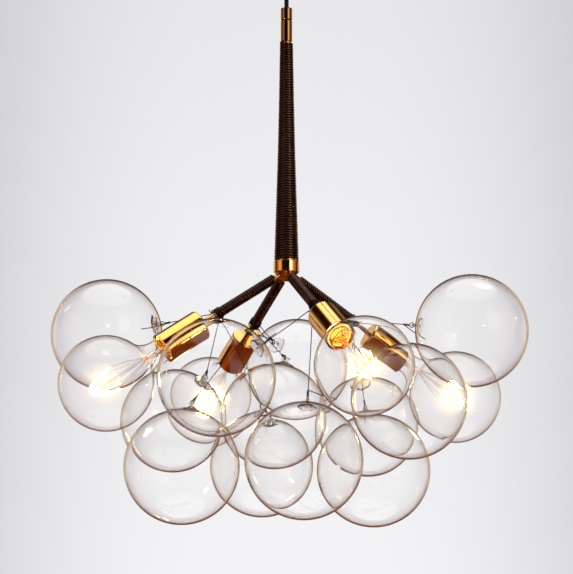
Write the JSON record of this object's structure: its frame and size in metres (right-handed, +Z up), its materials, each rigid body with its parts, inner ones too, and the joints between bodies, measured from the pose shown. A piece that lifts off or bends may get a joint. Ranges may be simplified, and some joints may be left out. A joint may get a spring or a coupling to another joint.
{
  "type": "bubble pendant light",
  "caption": "Bubble pendant: a leather-wound stem on a cord carries drooping brass arms with globe lamps and a cluster of hung glass bubbles.",
  "frame": {"origin": "middle of the two fixing holes, on the bracket face that lies against the ceiling", "axes": "+Z up along the cord and stem, +X along the line of the two fixing holes, the pictured view looks along +Y"},
  "size_m": [0.6375, 0.5882, 0.7953],
  "materials": {
    "polished_brass": "polished",
    "brass_tube": "satin",
    "dark_leather": "waxed",
    "black_cord": "braided",
    "bubble_glass": "clear",
    "lamp_glass": "clear",
    "lamp_cap": "satin",
    "black_insulator": "glossy",
    "lamp_mount": "glowing filament on a glass stem",
    "cream_holder": "matt",
    "iron_wire": "blackened",
    "zinc_steel": "zinc plated",
    "black_plastic": "matt",
    "white_plastic": "satin"
  },
  "bodies": {
    "fixture": {"arm_hub": "polished_brass", "arm_tube_back": "polished_brass", "arm_tube_front": "polished_brass", "arm_tube_left": "polished_brass", "arm_tube_right": "polished_brass", "arm_wrap_back": "dark_leather", "arm_wrap_front": "dark_leather", "arm_wrap_left": "dark_leather", "arm_wrap_right": "dark_leather", "bubble_centre": "bubble_glass", "bubble_front_lower": "bubble_glass", "bubble_left_inner": "bubble_glass", "bubble_right_back": "bubble_glass", "bubble_right_lower": "bubble_glass", "ceiling_bracket": "zinc_steel", "cord_grip": "black_plastic", "gland_nut": "polished_brass", "gland_sleeve": "polished_brass", "lampholder_back": "cream_holder", "lampholder_front": "cream_holder", "lampholder_left": "cream_holder", "lampholder_right": "cream_holder", "socket_cup_back": "polished_brass", "socket_cup_front": "polished_brass", "socket_cup_left": "polished_brass", "socket_cup_right": "polished_brass", "stem_core": "brass_tube", "stem_wrap": "dark_leather", "supply_cord": "black_cord", "terminal_block": "white_plastic", "tie_wires_back": "iron_wire", "tie_wires_front": "iron_wire", "tie_wires_left": "iron_wire", "tie_wires_right": "iron_wire"},
    "canopy": {"canopy": "polished_brass", "canopy_collar": "polished_brass", "collar_screw": "zinc_steel"},
    "lamp_run_right": {"lamp_contact_right": "black_insulator"},
    "lamp_right": {"lamp_glass_right": "lamp_glass", "lamp_cap_right": "lamp_cap", "lamp_mount_right": "lamp_mount"},
    "lamp_run_back": {"lamp_contact_back": "black_insulator"},
    "lamp_back": {"lamp_glass_back": "lamp_glass", "lamp_cap_back": "lamp_cap", "lamp_mount_back": "lamp_mount"},
    "lamp_run_left": {"lamp_contact_left": "black_insulator"},
    "lamp_left": {"lamp_glass_left": "lamp_glass", "lamp_cap_left": "lamp_cap", "lamp_mount_left": "lamp_mount"},
    "lamp_run_front": {"lamp_contact_front": "black_insulator"},
    "lamp_front": {"lamp_glass_front": "lamp_glass", "lamp_cap_front": "lamp_cap", "lamp_mount_front": "lamp_mount"},
    "bubble_left_upper": {"bubble_left_upper": "bubble_glass"},
    "bubble_left_front": {"bubble_left_front": "bubble_glass"},
    "bubble_back_upper": {"bubble_back_upper": "bubble_glass"},
    "bubble_right_upper": {"bubble_right_upper": "bubble_glass"},
    "bubble_right_front": {"bubble_right_front": "bubble_glass"},
    "bubble_left_lower": {"bubble_left_lower": "bubble_glass"},
    "bubble_back_lower": {"bubble_back_lower": "bubble_glass"}
  },
  "joints": [
    {"name": "canopy_slide", "type": "slide", "parent": "fixture", "child": "canopy", "axis": [0, 0, -1], "range_m": [0, 0.035]},
    {"name": "lamp_run_right", "type": "slide", "parent": "fixture", "child": "lamp_run_right", "axis": [0.7792, 0.3228, -0.5373], "range_m": [0, 0.01086]},
    {"name": "lamp_screw_right", "type": "hinge", "parent": "lamp_run_right", "child": "lamp_right", "pos_m": [0.23064, 0.09553, -0.61154], "axis": [0.7792, 0.3228, -0.5373], "range_deg": [0, 1080]},
    {"name": "lamp_run_back", "type": "slide", "parent": "fixture", "child": "lamp_run_back", "axis": [-0.3728, 0.7817, -0.5], "range_m": [0, 0.01086]},
    {"name": "lamp_screw_back", "type": "hinge", "parent": "lamp_run_back", "child": "lamp_back", "pos_m": [-0.11036, 0.23137, -0.6005], "axis": [-0.3728, 0.7817, -0.5], "range_deg": [0, 1080]},
    {"name": "lamp_run_left", "type": "slide", "parent": "fixture", "child": "lamp_run_left", "axis": [-0.7881, -0.2868, -0.5446], "range_m": [0, 0.01086]},
    {"name": "lamp_screw_left", "type": "hinge", "parent": "lamp_run_left", "child": "lamp_left", "pos_m": [-0.23328, -0.0849, -0.61371], "axis": [-0.7881, -0.2868, -0.5446], "range_deg": [0, 1080]},
    {"name": "lamp_run_front", "type": "slide", "parent": "fixture", "child": "lamp_run_front", "axis": [0.3245, -0.7835, -0.5299], "range_m": [0, 0.01086]},
    {"name": "lamp_screw_front", "type": "hinge", "parent": "lamp_run_front", "child": "lamp_front", "pos_m": [0.09606, -0.23191, -0.60936], "axis": [0.3245, -0.7835, -0.5299], "range_deg": [0, 1080]},
    {"name": "swing_left_upper", "type": "hinge", "parent": "fixture", "child": "bubble_left_upper", "pos_m": [-0.16682, 0.00219, -0.52385], "axis": [0.4034, 0.915, 0], "range_deg": [0, 10]},
    {"name": "swing_left_front", "type": "hinge", "parent": "fixture", "child": "bubble_left_front", "pos_m": [-0.03013, -0.13252, -0.56871], "axis": [-0.5239, 0.8518, 0], "range_deg": [0, 10]},
    {"name": "swing_back_upper", "type": "hinge", "parent": "fixture", "child": "bubble_back_upper", "pos_m": [-0.01758, 0.13706, -0.53004], "axis": [0.8978, -0.4404, 0], "range_deg": [0, 10]},
    {"name": "swing_right_upper", "type": "hinge", "parent": "fixture", "child": "bubble_right_upper", "pos_m": [0.16822, 0.00507, -0.52497], "axis": [-0.3597, -0.9331, 0], "range_deg": [0, 10]},
    {"name": "swing_right_front", "type": "hinge", "parent": "fixture", "child": "bubble_right_front", "pos_m": [0.10093, -0.0973, -0.57954], "axis": [-0.2378, -0.9713, 0], "range_deg": [0, 7]},
    {"name": "swing_left_lower", "type": "hinge", "parent": "fixture", "child": "bubble_left_lower", "pos_m": [-0.12334, -0.06906, -0.63809], "axis": [-0.0408, 0.9992, 0], "range_deg": [0, 5]},
    {"name": "swing_back_lower", "type": "hinge", "parent": "fixture", "child": "bubble_back_lower", "pos_m": [-0.02561, 0.06371, -0.63909], "axis": [0.9825, 0.1861, 0], "range_deg": [0, 5]}
  ],
  "couplings": [
    {"joint": "lamp_run_right", "follows": "lamp_screw_right", "m_per_rad": 0.00057614},
    {"joint": "lamp_run_back", "follows": "lamp_screw_back", "m_per_rad": 0.00057614},
    {"joint": "lamp_run_left", "follows": "lamp_screw_left", "m_per_rad": 0.00057614},
    {"joint": "lamp_run_front", "follows": "lamp_screw_front", "m_per_rad": 0.00057614}
  ]
}
